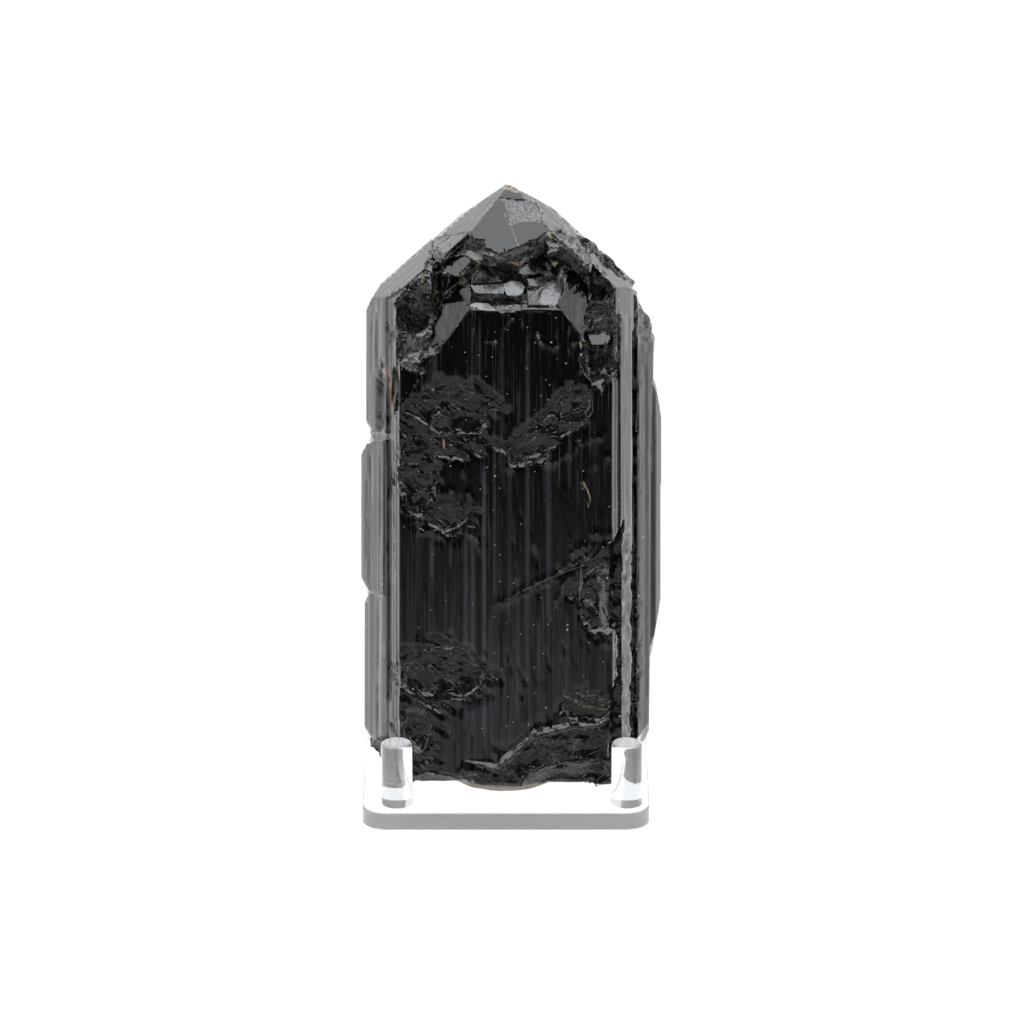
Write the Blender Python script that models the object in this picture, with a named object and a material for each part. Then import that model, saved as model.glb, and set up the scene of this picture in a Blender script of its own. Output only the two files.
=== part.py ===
"""Black tourmaline crystal leaning back on a clear acrylic peg stand.

Lengths are millimetres until a mesh is made, and metres in the scene.

World frame: +Z up, +X to the right as seen from the front, +Y to the back, with the
origin at the centre of the base plate's underside.

Crystal frame: z runs along the crystal's long axis, x across its broad front face and
y back through its depth. Its origin is the middle of the front face's lower edge.
Azimuths in it are degrees from straight ahead (-y), positive towards +x.
"""
import math
import random

import bmesh
import bpy
from mathutils import Matrix, Vector

MM = 0.001
GAP = 0.3                    # clearance between neighbouring pieces

# Crystal
LEAN_DEG = 21.0              # how far its axis leans back from upright
FRONT_HALF_WIDTH = 17.1      # broad front face
BODY_FRONT = 0.9             # main crystal's front, behind the growth that faces it
FOOT_DROP = 1.0              # how far the broken foot reaches below the front face's edge
CROWN_DEPTH = 3.6            # how far the broken crown is set back
LEFT_CORNER_X = -21.9
RIGHT_CORNER_X = 20.6
BODY_DEPTH = 40.0
SHOULDER_LEFT = 77.4         # height at which each side face turns into the point
SHOULDER_RIGHT = 78.9
POINT_SLOPE = 46.0           # steepness of the two point faces seen from the front
REAR_SLOPE = 45.0            # and of the two behind them
FRONT_TOP = 75.4             # top of the growth that makes the black front face

# Stand
PLATE_SIZE = (46.0, 65.0, 3.0)
PLATE_CORNER = 4.0
PLATE_CENTRE_BACK = 25.6     # plate centre behind the crystal's lower front edge
PEG_DIAMETER = 5.0
PEG_EDGE = 0.5
FRONT_PEG_HEIGHT = 10.4
FRONT_PEG_AHEAD = 2.8        # peg axis in front of the crystal's lower front edge
FRONT_PEG_X = (-17.4, 19.3)
BACK_PEG_BEHIND = 54.0
PAD_RADIUS = 8.9
PAD_THICKNESS = 1.2
PAD_BEHIND = 10.2

PLATE_TOP = PLATE_SIZE[2]
CRYSTAL_SEAT = PLATE_TOP + GAP + PAD_THICKNESS + GAP + FOOT_DROP * math.cos(math.radians(LEAN_DEG))


# --- materials -------------------------------------------------------------------------

def material(name, colour, roughness, transmission=0.0, ior=1.5):
    made = bpy.data.materials.new(name)
    made.use_nodes = True
    surface = made.node_tree.nodes["Principled BSDF"]
    surface.inputs["Base Color"].default_value = (*colour, 1.0)
    surface.inputs["Roughness"].default_value = roughness
    surface.inputs["Metallic"].default_value = 0.0
    surface.inputs["Transmission Weight"].default_value = transmission
    surface.inputs["IOR"].default_value = ior
    return made


def schorl():
    return material("black_tourmaline", (0.012, 0.012, 0.014), 0.22, ior=1.64)


def acrylic():
    return material("clear_acrylic", (0.96, 0.97, 0.97), 0.03, transmission=1.0, ior=1.49)


def putty():
    return material("beige_putty", (0.28, 0.25, 0.21), 0.75)


# --- shapes ----------------------------------------------------------------------------

def heading(azimuth):
    """Level unit vector at an azimuth of the crystal frame."""
    angle = math.radians(azimuth)
    return Vector((math.sin(angle), -math.cos(angle), 0.0))


def side(azimuth, x, y):
    """Upright face through (x, y), as a point and an outward normal."""
    return Vector((x, y, 0.0)), heading(azimuth)


def cap(azimuth, steepness, x, y, z):
    """Face that slopes down towards its azimuth, through (x, y, z)."""
    angle = math.radians(steepness)
    return Vector((x, y, z)), heading(azimuth) * math.sin(angle) + Vector((0, 0, math.cos(angle)))


def foot(azimuth, steepness, x, y, z):
    """The same, facing down instead of up."""
    point, normal = cap(azimuth, steepness, x, y, z)
    return point, Vector((normal.x, normal.y, -normal.z))


def level_foot(rise=0.0):
    """Broken foot: a face that lies level once the crystal leans back."""
    lean = math.radians(LEAN_DEG)
    return Vector((0, 0, rise - FOOT_DROP)), Vector((0, math.sin(lean), -math.cos(lean)))


def convex(faces, reach=150.0):
    """Closed solid that lies behind every one of the faces."""
    bm = bmesh.new()
    bmesh.ops.create_cube(bm, size=2 * reach)
    for point, normal in faces:
        everything = bm.verts[:] + bm.edges[:] + bm.faces[:]
        cut = bmesh.ops.bisect_plane(bm, geom=everything, dist=1e-4, plane_co=point,
                                     plane_no=normal, clear_outer=True)
        rim = [part for part in cut["geom_cut"] if isinstance(part, bmesh.types.BMEdge)]
        if rim:
            bmesh.ops.edgeloop_fill(bm, edges=rim)
    bmesh.ops.recalc_face_normals(bm, faces=bm.faces[:])
    return bm


def chip(x, z, width, height, depth, seed, y=0.0, turn=0.0):
    """Rough faceted lump centred on (x, y, z), to be broken out of a face."""
    bm = bmesh.new()
    bmesh.ops.create_icosphere(bm, subdivisions=2, radius=1.0)
    source = random.Random(seed)
    for vertex in bm.verts:
        vertex.co *= source.uniform(0.78, 1.12)
    reach = Matrix.Diagonal((width / 2, depth, height / 2, 1.0))
    place = Matrix.Translation((x, y, z)) @ Matrix.Rotation(math.radians(turn), 4, "Y") @ reach
    bmesh.ops.transform(bm, matrix=place, verts=bm.verts[:])
    return bm


def ridge(points, half_width, rise, root=2.5):
    """Crest that follows (x, z) points across the front face and stands out from it."""
    bm = bmesh.new()
    route = [Vector((x, 0, z)) for x, z in points]
    sections = []
    for index, place in enumerate(route):
        ahead = route[min(index + 1, len(route) - 1)] - route[max(index - 1, 0)]
        across = Vector((-ahead.z, 0, ahead.x)).normalized() * half_width
        taper = 0.45 if index in (0, len(route) - 1) else 1.0
        corners = (place + across * taper + Vector((0, 0.3, 0)), place + Vector((0, -rise * taper, 0)),
                   place - across * 0.6 * taper + Vector((0, 0.5, 0)), place + Vector((0, root, 0)))
        sections.append([bm.verts.new(corner) for corner in corners])
    for near, far in zip(sections, sections[1:]):
        for first in range(4):
            second = (first + 1) % 4
            bm.faces.new((near[first], near[second], far[second], far[first]))
    bm.faces.new(sections[0])
    bm.faces.new(sections[-1])
    bmesh.ops.recalc_face_normals(bm, faces=bm.faces[:])
    return bm


def mesh_object(name, bm, home, surface=None):
    """Turn millimetres into metres and make the object."""
    bmesh.ops.scale(bm, vec=(MM, MM, MM), verts=bm.verts[:])
    mesh = bpy.data.meshes.new(name)
    bm.to_mesh(mesh)
    bm.free()
    made = bpy.data.objects.new(name, mesh)
    home.objects.link(made)
    if surface:
        mesh.materials.append(surface)
    return made


# --- crystal ---------------------------------------------------------------------------

def brow_face():
    """Steep face of the point that looks to the front."""
    return cap(0, 62, 0, 3.2, 93.5)


def body():
    """Main crystal: a rounded-triangle prism under a five-faced point."""
    return convex([
        side(0, 0, BODY_FRONT), brow_face(),
        side(-60, -FRONT_HALF_WIDTH, 0),
        side(60, FRONT_HALF_WIDTH, 0),
        side(90, RIGHT_CORNER_X, 0),
        side(-120, LEFT_CORNER_X, 8.3),
        side(120, RIGHT_CORNER_X, 12.0),
        side(180, 0, BODY_DEPTH),
        cap(-60, POINT_SLOPE, -FRONT_HALF_WIDTH, 0, SHOULDER_LEFT),
        cap(60, POINT_SLOPE, FRONT_HALF_WIDTH, 0, SHOULDER_RIGHT),
        cap(-120, REAR_SLOPE, -15.9, 10.1, 83.7),
        cap(120, REAR_SLOPE, 13.0, 8.0, 86.9),
        cap(-90, 33, -5.8, 0, 92.2),
        cap(90, 25, 5.5, 0, 93.4),
        cap(180, 38, 0, 30, 84.0),
        level_foot(),
    ])


def brow():
    """Face under the tip that leans out over the broken hollow."""
    return convex([
        brow_face(),
        cap(-60, POINT_SLOPE + 0.4, -FRONT_HALF_WIDTH, 0, SHOULDER_LEFT - 0.05),
        cap(60, POINT_SLOPE + 0.4, FRONT_HALF_WIDTH, 0, SHOULDER_RIGHT - 0.05),
        side(-58, -5.4, 0), side(52, 6.6, 0),
        side(180, 0, 9),
        cap(-90, 33.5, -5.8, 0, 92.1), cap(90, 25.5, 5.5, 0, 93.3),
        foot(-35, 30, -2.0, 0, 83.0), foot(30, 52, 2.0, 0, 84.6),
    ])


def front_growth(front, inset, top, bevel, top_rise):
    """Flat-topped crystal in front of the main one, with a slanting face at each shoulder."""
    return convex([
        side(0, 0, front),
        side(-62, -FRONT_HALF_WIDTH + inset, front), side(62, FRONT_HALF_WIDTH - inset, front),
        side(-90, -18.5, 0), side(90, 18.5, 0), side(180, 0, 12),
        cap(-42, 63.5, -5.7 + inset, 0, 75.75), cap(42, 62.5, 8.1 - inset, 0, 76.3),
        cap(0, bevel, 0, front, top), cap(0, 6, 0, front + 1.0, top + top_rise),
        level_foot(0.15),
    ])


def left_ledge():
    """Broken ledge that slopes back into the hollow at the left shoulder."""
    return convex([
        side(0, 0, 0.1), side(-62, -FRONT_HALF_WIDTH + 0.1, 0.1), side(90, -7.5, 0), side(180, 0, 9.3),
        cap(-14, 47, -14.0, 0, 67.6), cap(30, 38, -11.0, 0, 69.2), foot(-10, 20, -14.0, 0, 57.3),
    ])


def left_slab(outer_x, lift, low, high, seed):
    """Thin growth along the left side face, with chamfered ends."""
    tilt = random.Random(seed).uniform(-2.0, 2.0)
    start = Vector((-FRONT_HALF_WIDTH, 0, 0)) + heading(-60) * lift
    edge_y = (start.x - outer_x) * math.sqrt(3) + start.y
    return convex([
        side(-60 + tilt, (start.x + outer_x) / 2, (start.y + edge_y) / 2),
        side(-120, outer_x, edge_y),
        side(-33, -18.9, 3.0), side(0, 0, 1.5), side(90, -12, 0), side(180, 0, 24), level_foot(0.2),
        cap(-90, 61, outer_x + 0.4, edge_y, high - 1.1), cap(-60, POINT_SLOPE, start.x, start.y, high),
        cap(-120, REAR_SLOPE, -15.9, 10.1, 83.9),
        foot(-80, 66, outer_x + 0.3, edge_y, low + 2.0), foot(-70, 30, outer_x + 1.5, edge_y, low),
    ])


def right_slab():
    """Broad growth behind the right edge, with a rough domed top."""
    return convex([
        side(0, 0, 7.3), side(58, 21.3, 7.3), foot(88, 89.3, 23.9, 12, 70), side(125, 23.7, 15),
        side(180, 0, 27), side(-90, 5, 0),
        cap(92, 77, 23.8, 12, 71.6), cap(86, 62, 21.3, 12, 77.7), cap(94, 43, 17.4, 12, 83.3),
        cap(170, 40, 12, 20, 82.0), cap(95, 26, 13.5, 12, 86.7),
        foot(80, 62, 23.0, 10, 8.9), level_foot(0.2),
    ])


def right_lump(outer_x, low, high, low_round, high_round):
    """Rounded growth that stands out furthest on the right."""
    return convex([
        side(35, 23.1, 11.5), side(72, 24.7, 13.6), side(95, outer_x, 15), side(130, outer_x - 0.4, 19),
        side(180, 0, 24), side(-90, 12, 0),
        cap(88, 80, outer_x - 0.2 * high_round, 15, high - 7 * high_round),
        cap(85, 68, outer_x - 0.8 * high_round, 15, high - 3.5 * high_round),
        cap(80, 40, outer_x - 2.4, 15, high),
        foot(88, 80, outer_x - 0.1 * low_round, 15, low + 9 * low_round),
        foot(85, 72, outer_x - 0.8 * low_round, 15, low + 4 * low_round),
        foot(80, 45, outer_x - 2.4, 15, low), level_foot(0.2),
    ])


def right_strip(low, high, lift):
    """Bright strip on the right side face, ending in a point at each end."""
    start = Vector((FRONT_HALF_WIDTH, 0, 0)) + heading(60) * lift
    return convex([
        side(60, start.x, start.y), side(4, 0, 0.25), side(100, 20.2, 5.2), side(180, 0, 12),
        side(-90, 14, 0), level_foot(0.2),
        cap(0, 80, 17.3, 0.2, high), cap(62, 50, 18.6, 2.5, high + 2), foot(-15, 72, 17.6, 0.3, low),
        foot(70, 60, 19.5, 4, low + 1),
    ])


def rear_slab(azimuth, x, y, half_width, low, high, lift):
    """Thin growth on one of the two broad faces at the back."""
    out = heading(azimuth)
    along = Vector((-out.y, out.x, 0))
    middle = Vector((x, y, 0)) + out * lift
    first, last = middle + along * half_width, middle - along * half_width
    return convex([
        (middle, out),
        (first, along), (last, -along),
        (middle - out * 5.0, -out), level_foot(0.2),
        cap(azimuth, 50, middle.x, middle.y, high), foot(azimuth, 55, middle.x, middle.y, low),
    ])


def fragment(x, z, width, height, azimuth, steepness, y, turn):
    """Small flat-faced block left standing in the broken crown, turned in the front's plane."""
    block = convex([
        cap(azimuth, steepness, 0, 0, 0), side(-62, -width / 2, 0), side(68, width / 2, 0),
        cap(20, 12, 0, 0, height / 2), cap(-48, 40, -width / 2, 0, height / 4),
        foot(-20, 30, 0, 0, -height / 2), side(176, 0, 4.8),
    ])
    place = Matrix.Translation((x, y, z)) @ Matrix.Rotation(math.radians(turn), 4, "Y")
    bmesh.ops.transform(block, matrix=place, verts=block.verts[:])
    return block


def crown_hollow():
    """The main crystal's broken crown, set back between its point faces."""
    set_back = 1.4
    return convex([
        side(0, 0, -20), side(178, 0, CROWN_DEPTH), side(-90, -16.9, 0), side(90, 16.6, 0),
        cap(-60, POINT_SLOPE + 1, -FRONT_HALF_WIDTH, 0, SHOULDER_LEFT - set_back),
        cap(60, POINT_SLOPE + 1, FRONT_HALF_WIDTH, 0, SHOULDER_RIGHT - set_back),
        cap(20, 8, 0, 0, 88.0), foot(0, 12, 0, 0, 64.0),
    ])


def corner_loss(x, low, high):
    """Length of the lower right edge that split off, back to a dark inner face."""
    return convex([
        side(168, 17.5, 2.9), side(-90, x, 0), side(0, 0, -20), side(90, 40, 0),
        cap(-40, 50, x, 0, high), foot(-30, 50, x, 0, low),
    ])


def growths():
    """Everything fused to the main crystal."""
    return {
        "brow": brow(),
        "front_growth": front_growth(0.0, 0.0, FRONT_TOP, 56, 1.1),
        "front_growth_inner": front_growth(1.7, 0.1, 77.9, 50, 1.9),
        "left_ledge": left_ledge(),
        "left_slab_top": left_slab(-22.8, 0.30, 55.6, SHOULDER_LEFT, 1),
        "left_slab_middle": left_slab(-23.35, 0.55, 29.6, 54.4, 2),
        "left_slab_low": left_slab(-22.95, 0.35, 6.0, 30.2, 3),
        "right_slab": right_slab(),
        "right_lump_top": right_lump(25.35, 45.6, 66.3, 0.25, 1.0),
        "right_lump_low": right_lump(25.15, 19.4, 49.6, 1.0, 0.25),
        "right_strip_top": right_strip(39.0, 73.0, 0.30),
        "block_left": fragment(-8.2, 82.4, 4.4, 3.0, -28, 66, 1.0, 12),
        "block_left_low": fragment(-9.6, 79.2, 2.2, 3.2, -50, 74, 1.4, -24),
        "block_middle": fragment(-3.6, 81.9, 3.6, 2.4, 8, 70, 2.0, -8),
        "block_right": fragment(4.8, 82.6, 5.6, 2.6, 10, 55, 0.8, 6),
        "block_right_low": fragment(6.2, 79.0, 4.6, 3.2, 24, 48, 1.2, -14),
        "block_far_right": fragment(9.6, 81.0, 3.0, 3.6, 48, 62, 1.6, 28),
        "block_upper_right": fragment(7.6, 86.2, 2.6, 2.4, 34, 58, 0.8, -30),
        "wavy_ridge": ridge([(-6.6, 3.2), (-1.6, 2.0), (1.4, 4.4), (4.5, 7.2), (9.2, 8.4), (14.4, 9.0),
                             (17.6, 10.0)], 1.3, 0.7),
        "slanting_vein": ridge([(-0.6, 28.5), (2.6, 30.4), (5.8, 31.9), (9.4, 33.4), (13.0, 34.8),
                                (17.4, 38.6)], 0.9, 0.45),
        "rear_left_slab": rear_slab(-120, -14.5, 21.0, 6.0, 14.0, 66.0, 0.8),
        "rear_left_ledge": rear_slab(-120, -18.5, 14.0, 2.6, 4.0, 71.0, 0.5),
        "rear_right_slab": rear_slab(120, 12.0, 27.0, 5.0, 22.0, 68.0, 0.7),
        "rear_right_ledge": rear_slab(120, 6.6, 36.3, 2.2, 8.0, 61.0, 0.5),
        "rear_edge_slab": rear_slab(180, 0.6, BODY_DEPTH, 2.6, 26.0, 70.0, 0.6),
    }


def breaks():
    """Hollows and chips knocked out of it."""
    return {
        "hollow_left_shoulder": chip(-14.7, 74.6, 6.2, 8.4, 6.6, 13),
        "hollow_left_upper": chip(-14.2, 77.0, 4.6, 3.6, 4.4, 14, turn=-38),
        "hollow_right_shoulder": chip(15.2, 71.4, 5.2, 17.0, 4.4, 15),
        "hollow_right_upper": chip(15.2, 78.8, 4.2, 5.0, 6.0, 16),
        "crack_under_brow": chip(4.2, 81.2, 6.6, 1.0, 3.4, 12, y=0.5, turn=4),
        "chip_left_band": chip(-18.0, 62.6, 2.4, 9.0, 1.3, 17, y=1.0),
        "notch_left_edge": chip(-22.6, 55.0, 2.2, 2.0, 4.0, 18, y=8.3),
        "scar_upper_left": chip(-9.6, 59.0, 15.0, 7.0, 0.9, 19, turn=14),
        "scar_left": chip(-14.0, 49.6, 6.6, 14.0, 0.9, 20),
        "ledge_left": chip(-9.8, 42.0, 9.0, 4.0, 0.7, 21, turn=-18),
        "scar_centre": chip(4.6, 54.0, 10.5, 5.6, 0.8, 22, turn=-40),
        "arc_right": chip(11.4, 60.0, 5.4, 8.0, 0.7, 23, turn=20),
        "hollow_right": chip(15.0, 29.6, 7.4, 12.4, 2.4, 24, turn=-14),
        "edge_loss_upper": corner_loss(16.5, 25.2, 37.8),
        "edge_loss_middle": corner_loss(18.0, 14.0, 26.0),
        "edge_loss_foot": corner_loss(16.6, 4.0, 14.6),
        "scar_lower_left": chip(-10.6, 16.8, 14.5, 9.0, 1.2, 25, turn=-8),
        "pit_left_foot": chip(-14.4, 8.6, 4.6, 8.0, 1.1, 26),
        "scar_lower_right": chip(12.8, 11.6, 8.0, 5.4, 1.2, 27, turn=8),
        "foot_left": chip(-9.0, -1.0, 18.0, 3.4, 2.4, 28, turn=8),
        "foot_right": chip(10.4, 0.6, 17.0, 5.4, 2.0, 29, turn=-12),
        "corner_left": chip(-23.2, -1.4, 9.5, 18.0, 9.0, 30, y=5.0, turn=28),
        "corner_right": chip(24.4, -0.8, 8.0, 15.5, 9.0, 31, y=6.0, turn=-28),
        "dent_back_left": chip(-13.4, 46.0, 9.0, 20.0, 1.6, 32, y=26.4, turn=8),
        "dent_back_right": chip(13.5, 24.0, 9.0, 13.0, 1.8, 33, y=27.6, turn=-10),
        "dent_back_edge": chip(-2.0, 62.0, 6.0, 9.0, 1.8, 34, y=40.2),
        "dent_back_foot": chip(6.6, 17.6, 9.0, 9.0, 3.0, 35, y=38.0),
    }


def hidden_tools(name, solids):
    """Shapes that only feed a Boolean, kept in a collection of their own."""
    home = bpy.data.collections.new(name)
    bpy.context.scene.collection.children.link(home)
    for label, bm in solids.items():
        tool = mesh_object(label, bm, home)
        tool.hide_render = True
        tool.display_type = "WIRE"
    return home


def combine(target, name, operation, home):
    step = target.modifiers.new(name, "BOOLEAN")
    step.operand_type = "COLLECTION"
    step.collection = home
    step.operation = operation
    step.solver = "EXACT"


def crystal(home):
    made = mesh_object("crystal", body(), home, schorl())
    pose(made, 0.0, 0.0, CRYSTAL_SEAT, lean=True)
    steps = (
        ("crown", "DIFFERENCE", {"crown_hollow": crown_hollow()}),
        ("grown_together", "UNION", growths()),
        ("broken_out", "DIFFERENCE", breaks()),
    )
    for name, operation, solids in steps:
        tools = hidden_tools(name, solids)
        combine(made, name, operation, tools)
        for tool in tools.objects:
            pose(tool, 0.0, 0.0, CRYSTAL_SEAT, lean=True)
    made.modifiers.new("facets", "TRIANGULATE")
    return made


def pose(target, x, behind, height, lean=False):
    """Place an object by its distance behind the crystal's lower front edge."""
    target.location = (x * MM, (behind - PLATE_CENTRE_BACK) * MM, height * MM)
    if lean:
        target.rotation_euler = (-math.radians(LEAN_DEG), 0.0, 0.0)


# --- stand -----------------------------------------------------------------------------

def turned(profile, segments=32):
    """Closed solid turned about z from (radius, height) points between its two poles."""
    bm = bmesh.new()
    points = [bm.verts.new((radius, 0, height)) for radius, height in profile]
    rim = [bm.edges.new(pair) for pair in zip(points, points[1:])]
    bmesh.ops.spin(bm, geom=points + rim, axis=(0, 0, 1), cent=(0, 0, 0), steps=segments,
                   angle=2 * math.pi, use_merge=True)
    bmesh.ops.remove_doubles(bm, verts=bm.verts[:], dist=1e-4)
    bmesh.ops.recalc_face_normals(bm, faces=bm.faces[:])
    return bm


def smooth(made, angle=35):
    made.data.shade_smooth()
    made.data.set_sharp_from_angle(angle=math.radians(angle))
    return made


def plate(home):
    """Base plate with rounded corners and a fine chamfer."""
    width, depth, thickness = PLATE_SIZE
    bm = bmesh.new()
    bmesh.ops.create_cube(bm, size=1.0)
    bmesh.ops.scale(bm, vec=PLATE_SIZE, verts=bm.verts[:])
    upright = [edge for edge in bm.edges if abs(edge.verts[0].co.z - edge.verts[1].co.z) > thickness / 2]
    bmesh.ops.bevel(bm, geom=upright, offset=PLATE_CORNER, segments=6, affect="EDGES", profile=0.5)
    rims = [edge for edge in bm.edges if abs(edge.verts[0].co.z - edge.verts[1].co.z) < 1e-6
            and len(edge.link_faces) == 2
            and abs(edge.link_faces[0].normal.z) + abs(edge.link_faces[1].normal.z) < 1.5]
    bmesh.ops.bevel(bm, geom=rims, offset=0.4, segments=1, affect="EDGES")
    made = mesh_object("stand_base", bm, home, acrylic_surface)
    made.location = (0.0, 0.0, thickness / 2 * MM)
    return smooth(made)


def peg(name, x, behind, height, home):
    radius = PEG_DIAMETER / 2
    edge = [(radius - PEG_EDGE + PEG_EDGE * math.sin(turn), height - PEG_EDGE + PEG_EDGE * math.cos(turn))
            for turn in (math.radians(step * 30) for step in range(4))]
    made = mesh_object(name, turned([(0, height), *edge, (radius, 0), (0, 0)]), home, acrylic_surface)
    pose(made, x, behind, PLATE_TOP + GAP)
    return smooth(made)


def back_peg_height():
    """Where the leaning back face passes over the front of the rear peg."""
    lean = math.radians(LEAN_DEG)
    reach = BACK_PEG_BEHIND - PEG_DIAMETER / 2 - GAP
    along = (reach - BODY_DEPTH * math.cos(lean)) / math.sin(lean)
    under = along * math.cos(lean) - BODY_DEPTH * math.sin(lean)
    return CRYSTAL_SEAT + under - PLATE_TOP - 2 * GAP


def pad(home):
    edge = 0.5
    turns = [math.radians(step * 22.5) for step in range(5)]
    rim = [(PAD_RADIUS - edge + edge * math.sin(turn), PAD_THICKNESS - edge + edge * math.cos(turn))
           for turn in turns]
    made = mesh_object("putty_pad", turned([(0, PAD_THICKNESS), *rim, (PAD_RADIUS - 0.2, 0), (0, 0)], 40),
                       home, putty())
    pose(made, -0.3, PAD_BEHIND, PLATE_TOP + GAP)
    return smooth(made)


for old in list(bpy.data.objects):
    bpy.data.objects.remove(old, do_unlink=True)

scene_home = bpy.context.scene.collection
acrylic_surface = acrylic()
crystal(scene_home)
plate(scene_home)
peg("peg_front_left", FRONT_PEG_X[0], -FRONT_PEG_AHEAD, FRONT_PEG_HEIGHT, scene_home)
peg("peg_front_right", FRONT_PEG_X[1], -FRONT_PEG_AHEAD, FRONT_PEG_HEIGHT, scene_home)
peg("peg_back", 0.0, BACK_PEG_BEHIND, back_peg_height(), scene_home)
pad(scene_home)
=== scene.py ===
"""Finish of the black tourmaline crystal and its clear peg stand.

World lengths are metres. The crystal is worked in its own frame and in millimetres: z along
its axis, x across the broad front face, y back through its depth, from the middle of the
front face's lower edge.
"""
import math

import bmesh
import bpy
import numpy as np
from mathutils import Matrix, Vector, noise
from mathutils.bvhtree import BVHTree


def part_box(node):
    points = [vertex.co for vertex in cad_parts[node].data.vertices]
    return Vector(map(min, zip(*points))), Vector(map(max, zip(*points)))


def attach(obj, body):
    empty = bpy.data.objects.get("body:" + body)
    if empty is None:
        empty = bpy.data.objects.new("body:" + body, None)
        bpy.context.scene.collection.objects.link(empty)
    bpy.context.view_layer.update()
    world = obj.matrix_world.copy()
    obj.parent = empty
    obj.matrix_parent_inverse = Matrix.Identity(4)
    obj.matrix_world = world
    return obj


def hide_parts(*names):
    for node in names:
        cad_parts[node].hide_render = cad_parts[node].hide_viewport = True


MM = 0.001
LEAN = math.radians(21.0)    # how far the crystal's axis leans back
PLATE_CENTRE_BACK = 25.6     # plate centre behind the crystal's lower front edge
FOOT_DROP = 1.0              # how far its broken foot reaches below that edge

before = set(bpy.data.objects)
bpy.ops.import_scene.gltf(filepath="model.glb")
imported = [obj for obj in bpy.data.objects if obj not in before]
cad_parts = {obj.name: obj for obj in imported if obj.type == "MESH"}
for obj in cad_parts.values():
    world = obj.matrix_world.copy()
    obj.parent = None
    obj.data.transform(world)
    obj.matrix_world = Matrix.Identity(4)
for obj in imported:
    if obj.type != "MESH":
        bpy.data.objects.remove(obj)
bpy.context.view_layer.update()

CRYSTAL_SEAT = Vector((0.0, -PLATE_CENTRE_BACK * MM,
                       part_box("crystal")[0].z + FOOT_DROP * MM * math.cos(LEAN)))
CRYSTAL_PLACE = (Matrix.Translation(CRYSTAL_SEAT) @ Matrix.Rotation(-LEAN, 4, "X")
                 @ Matrix.Scale(MM, 4))


# --- camera, floor and light -----------------------------------------------------------

VIEW_ACROSS = 0.97           # point of the crystal's frame that the camera looks at
VIEW_BACK = 5.0
VIEW_UP = 43.1
VIEW_DISTANCE = 916.0
LENS = 200.0                 # focal length, on a film 36 mm wide
FILM_WIDTH = 36.0
TOWARD_CAMERA = Vector((0.0, -math.cos(LEAN), math.sin(LEAN)))


def add_camera():
    camera = bpy.data.objects.new("camera", bpy.data.cameras.new("camera"))
    camera.data.lens = LENS
    camera.data.sensor_width = FILM_WIDTH
    camera.data.clip_end = 10.0
    target = CRYSTAL_PLACE @ Vector((VIEW_ACROSS, VIEW_BACK, VIEW_UP))
    camera.location = target + TOWARD_CAMERA * VIEW_DISTANCE * MM
    camera.rotation_euler = (math.pi / 2 - LEAN, 0.0, 0.0)
    bpy.context.scene.collection.objects.link(camera)
    bpy.context.scene.camera = camera


class Nodes:
    """Places and joins the nodes of one tree."""

    def __init__(self, tree):
        self.tree = tree

    def add(self, kind, inputs=None, **settings):
        node = self.tree.nodes.new(kind)
        for name, value in settings.items():
            setattr(node, name, value)
        for name, value in (inputs or {}).items():
            if isinstance(value, bpy.types.NodeSocket):
                self.tree.links.new(value, node.inputs[name])
            else:
                node.inputs[name].default_value = value
        return node

    def math(self, operation, first, second=0.0, clamp=False):
        node = self.add("ShaderNodeMath", {0: first, 1: second}, operation=operation)
        node.use_clamp = clamp
        return node.outputs[0]

    def times(self, first, second, clamp=False):
        return self.math("MULTIPLY", first, second, clamp)

    def between(self, value, low, high, out_low=0.0, out_high=1.0):
        node = self.add("ShaderNodeMapRange", {"Value": value, "From Min": low, "From Max": high,
                                               "To Min": out_low, "To Max": out_high},
                        interpolation_type="SMOOTHSTEP")
        return node.outputs["Result"]

    def mix(self, factor, first, second):
        """Blend of two colours."""
        node = self.add("ShaderNodeMix", {"Factor": factor, 6: first, 7: second}, data_type="RGBA")
        return node.outputs[2]

    def blend(self, factor, first, second):
        """Blend of two numbers."""
        return self.add("ShaderNodeMix", {"Factor": factor, 2: first, 3: second}).outputs[0]

    def split(self, place):
        """The three parts of a place, by the names X, Y and Z."""
        return self.add("ShaderNodeSeparateXYZ", {0: place}).outputs

    def vector(self, operation, first, second=None, scale=None):
        inputs = {0: first}
        if second is not None:
            inputs[1] = second
        if scale is not None:
            inputs["Scale"] = scale
        node = self.add("ShaderNodeVectorMath", inputs, operation=operation)
        return node.outputs["Value" if operation == "DOT_PRODUCT" else "Vector"]

    def noise(self, place, scale, detail=3.0, roughness=0.5):
        node = self.add("ShaderNodeTexNoise", {"Vector": place, "Scale": scale, "Detail": detail,
                                               "Roughness": roughness})
        return node.outputs["Fac"]


SKY_LOW = 1.7                # light that comes level from the sides
SKY_MIDDLE = 1.1
SKY_TOP = 2.8                # soft box overhead
TENT_TINT = (0.96, 0.98, 1.0, 1)   # slightly cool
CARD_NEAR = (0.62, 0.76)     # card round the lens: cosines of the angles where it ends and is full
CARD_WIDE = (0.36, 0.58)     # the same for its wings
WIDE_TOP = (0.82, 0.66)      # heights where the wings end and are full
CARD_FOOT = 0.5              # light on the lower part of the card
DARK_CARD = 0.02             # light on the rest of it
BACKDROP = 1.1               # table and surround as the camera sees them
THROUGH_CLEAR = 1.05         # surround as seen through the rods
FLOOR_LIGHT = 1.9            # table in reflections
FLOOR_AHEAD = 0.25           # its shaded part, between the crystal and the lens
SHADE_EDGE = (-0.07, -0.01)  # where that shade ends, along y in metres


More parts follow.
